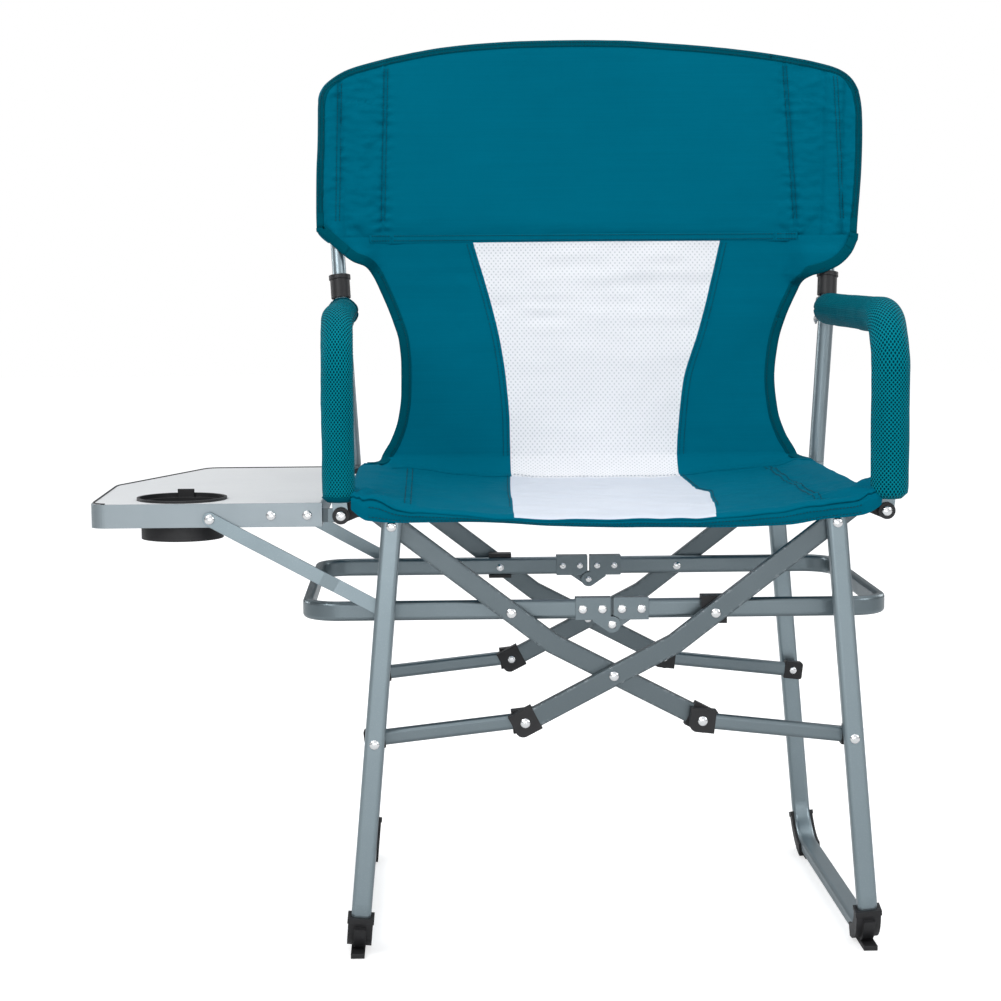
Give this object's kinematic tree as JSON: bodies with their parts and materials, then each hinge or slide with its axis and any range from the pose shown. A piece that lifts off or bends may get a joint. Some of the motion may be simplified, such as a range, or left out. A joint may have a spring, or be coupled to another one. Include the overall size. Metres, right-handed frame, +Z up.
{
  "type": "folding camp chair",
  "caption": "Folding camp chair: splayed tube legs, scissor arms, sling seat and back, padded armrests, folding back posts and a drop-down side table with cup holder.",
  "frame": {"origin": "centre of the bottom of the open chair's bounding box, on the floor", "axes": "+Z up, +X to the sitter's left (the right of the front view), -Y to the front, so the chair faces -Y and the table is on the -X side"},
  "size_m": [0.845, 0.522, 0.9621],
  "materials": {
    "tube_paint": "satin blue-grey powder coat",
    "black_plastic": "moulded, fine texture",
    "rivet_chrome": "bright",
    "plated_steel": "zinc plated",
    "rim_metal": "satin",
    "table_top": "laminate",
    "teal_canvas": "coated woven polyester",
    "spacer_mesh": "spacer mesh over foam",
    "white_mesh": "open mesh"
  },
  "bodies": {
    "frame_left": {"leg_tube_left": "tube_paint", "leg_shoes_left": "black_plastic", "leg_rivets_left": "rivet_chrome", "leg_bushes_left": "black_plastic"},
    "scissor_left": {"arms_left": "tube_paint", "seat_rail_left": "tube_paint", "rail_plugs_left": "black_plastic", "arm_caps_left": "black_plastic", "arm_rivets_left": "rivet_chrome", "seat_sleeve_left": "teal_canvas"},
    "scissor_right": {"arms_right": "tube_paint", "seat_rail_right": "tube_paint", "rail_plugs_right": "black_plastic", "arm_caps_right": "black_plastic", "arm_rivets_right": "rivet_chrome", "seat_sleeve_right": "teal_canvas"},
    "frame_right": {"leg_tube_right": "tube_paint", "leg_shoes_right": "black_plastic", "leg_rivets_right": "rivet_chrome", "leg_bushes_right": "black_plastic"},
    "links_left": {"links_left": "tube_paint", "link_caps_left": "black_plastic", "link_rivets_left": "rivet_chrome"},
    "links_right": {"links_right": "tube_paint", "link_caps_right": "black_plastic", "link_rivets_right": "rivet_chrome"},
    "hoop_left": {"hoop_left": "tube_paint", "hoop_brackets_left": "tube_paint", "hoop_rivets_left": "rivet_chrome", "hoop_clip_left": "black_plastic"},
    "hoop_right": {"hoop_right": "tube_paint", "hoop_brackets_right": "tube_paint", "hoop_rivets_right": "rivet_chrome", "hoop_clip_right": "black_plastic"},
    "side_left": {"armrest_tube_left": "tube_paint", "armrest_foam_left": "spacer_mesh", "pivot_bolts_left": "rivet_chrome", "pivot_rings_left": "black_plastic", "sling_middle": "teal_canvas"},
    "side_right": {"armrest_tube_right": "tube_paint", "armrest_foam_right": "spacer_mesh", "pivot_bolts_right": "rivet_chrome", "pivot_rings_right": "black_plastic"},
    "post_left": {"upper_post_left": "tube_paint", "post_plates_left": "plated_steel", "back_sleeve_left": "teal_canvas", "back_panel": "teal_canvas"},
    "post_right": {"upper_post_right": "tube_paint", "post_plates_right": "plated_steel", "back_sleeve_right": "teal_canvas"},
    "collar_left": {"lock_collar_left": "black_plastic"},
    "collar_right": {"lock_collar_right": "black_plastic"},
    "table": {"table_rim": "rim_metal", "table_panel": "table_top", "cup_holder": "black_plastic", "table_straps": "tube_paint", "table_rivets": "rivet_chrome"},
    "stays": {"table_braces": "tube_paint"},
    "seat_left": {"seat_panel_left": "teal_canvas"},
    "seat_right": {"seat_panel_right": "teal_canvas"}
  },
  "joints": [
    {"name": "fold", "type": "hinge", "parent": "frame_left", "child": "scissor_left", "pos_m": [-0.1225, -0.03255, 0.442], "axis": [0, 1, 0], "range_deg": [0, 48.45], "deforming": ["sling_middle", "back_panel"]},
    {"name": "scissor_cross", "type": "hinge", "parent": "scissor_left", "child": "scissor_right", "pos_m": [0.1005, -0.03255, 0.286], "axis": [0, 1, 0], "range_deg": [-100.2, 0]},
    {"name": "leg_right_pivot", "type": "hinge", "parent": "scissor_right", "child": "frame_right", "pos_m": [0.3235, -0.03255, 0.442], "axis": [0, 1, 0], "range_deg": [0, 48.65]},
    {"name": "link_left_pivot", "type": "hinge", "parent": "frame_left", "child": "links_left", "pos_m": [-0.14186, -0.03255, 0.222], "axis": [0, 1, 0], "range_deg": [0, 84.76]},
    {"name": "link_right_pivot", "type": "hinge", "parent": "frame_right", "child": "links_right", "pos_m": [0.34286, -0.03255, 0.222], "axis": [0, 1, 0], "range_deg": [-84.76, 0]},
    {"name": "hoop_left_pivot", "type": "hinge", "parent": "scissor_left", "child": "hoop_left", "pos_m": [-0.0025, -0.03255, 0.3495], "axis": [0, 1, 0], "range_deg": [-138.49, 0]},
    {"name": "hoop_centre_hinge", "type": "hinge", "parent": "hoop_left", "child": "hoop_right", "pos_m": [0.1005, -0.03255, 0.335], "axis": [0, 1, 0], "range_deg": [0, 176.78]},
    {"name": "side_left_pivot", "type": "hinge", "parent": "scissor_left", "child": "side_left", "pos_m": [-0.1725, -0.03255, 0.453], "axis": [0, 1, 0], "range_deg": [-50.2, 0]},
    {"name": "side_right_pivot", "type": "hinge", "parent": "scissor_right", "child": "side_right", "pos_m": [0.3735, -0.03255, 0.453], "axis": [0, 1, 0], "range_deg": [0, 50.2]},
    {"name": "seat_left_turn", "type": "hinge", "parent": "scissor_left", "child": "seat_left", "pos_m": [-0.1555, -0.03255, 0.46], "axis": [0, 1, 0], "range_deg": [-140.2, 0]},
    {"name": "seat_right_turn", "type": "hinge", "parent": "scissor_right", "child": "seat_right", "pos_m": [0.3565, -0.03255, 0.46], "axis": [0, 1, 0], "range_deg": [0, 140.2]},
    {"name": "back_fold", "type": "hinge", "parent": "side_left", "child": "post_left", "pos_m": [-0.18357, 0.18845, 0.634], "axis": [-1, 0, 0], "range_deg": [0, 165]},
    {"name": "back_fold_right", "type": "hinge", "parent": "side_right", "child": "post_right", "pos_m": [0.38457, 0.18845, 0.634], "axis": [-1, 0, 0], "range_deg": [0, 165.2]},
    {"name": "collar_left_slide", "type": "slide", "parent": "post_left", "child": "collar_left", "axis": [-0.061, 0.2075, 0.9763], "range_m": [0, 0.018]},
    {"name": "collar_right_slide", "type": "slide", "parent": "post_right", "child": "collar_right", "axis": [0.061, 0.2075, 0.9763], "range_m": [0, 0.018]},
    {"name": "table_drop", "type": "hinge", "parent": "side_left", "child": "table", "pos_m": [-0.1725, -0.03255, 0.453], "axis": [0, -1, 0], "range_deg": [0, 55]},
    {"name": "stay_swing", "type": "hinge", "parent": "table", "child": "stays", "pos_m": [-0.3035, -0.03255, 0.45], "axis": [0, 1, 0], "range_deg": [0, 116.2]}
  ],
  "couplings": [
    {"joint": "scissor_cross", "follows": "fold", "ratio": -2.064},
    {"joint": "leg_right_pivot", "follows": "fold", "ratio": 1},
    {"joint": "link_left_pivot", "follows": "fold", "ratio": 1.7453},
    {"joint": "link_right_pivot", "follows": "fold", "ratio": -1.7453},
    {"joint": "hoop_left_pivot", "follows": "fold", "ratio": -2.8543},
    {"joint": "hoop_centre_hinge", "follows": "fold", "ratio": 3.6446},
    {"joint": "side_left_pivot", "follows": "fold", "ratio": -1.032},
    {"joint": "side_right_pivot", "follows": "fold", "ratio": 1.032},
    {"joint": "seat_left_turn", "follows": "fold", "ratio": -2.8896},
    {"joint": "seat_right_turn", "follows": "fold", "ratio": 2.8896},
    {"joint": "back_fold_right", "follows": "back_fold", "ratio": 1},
    {"joint": "stay_swing", "follows": "table_drop", "ratio": 2.1091}
  ]
}
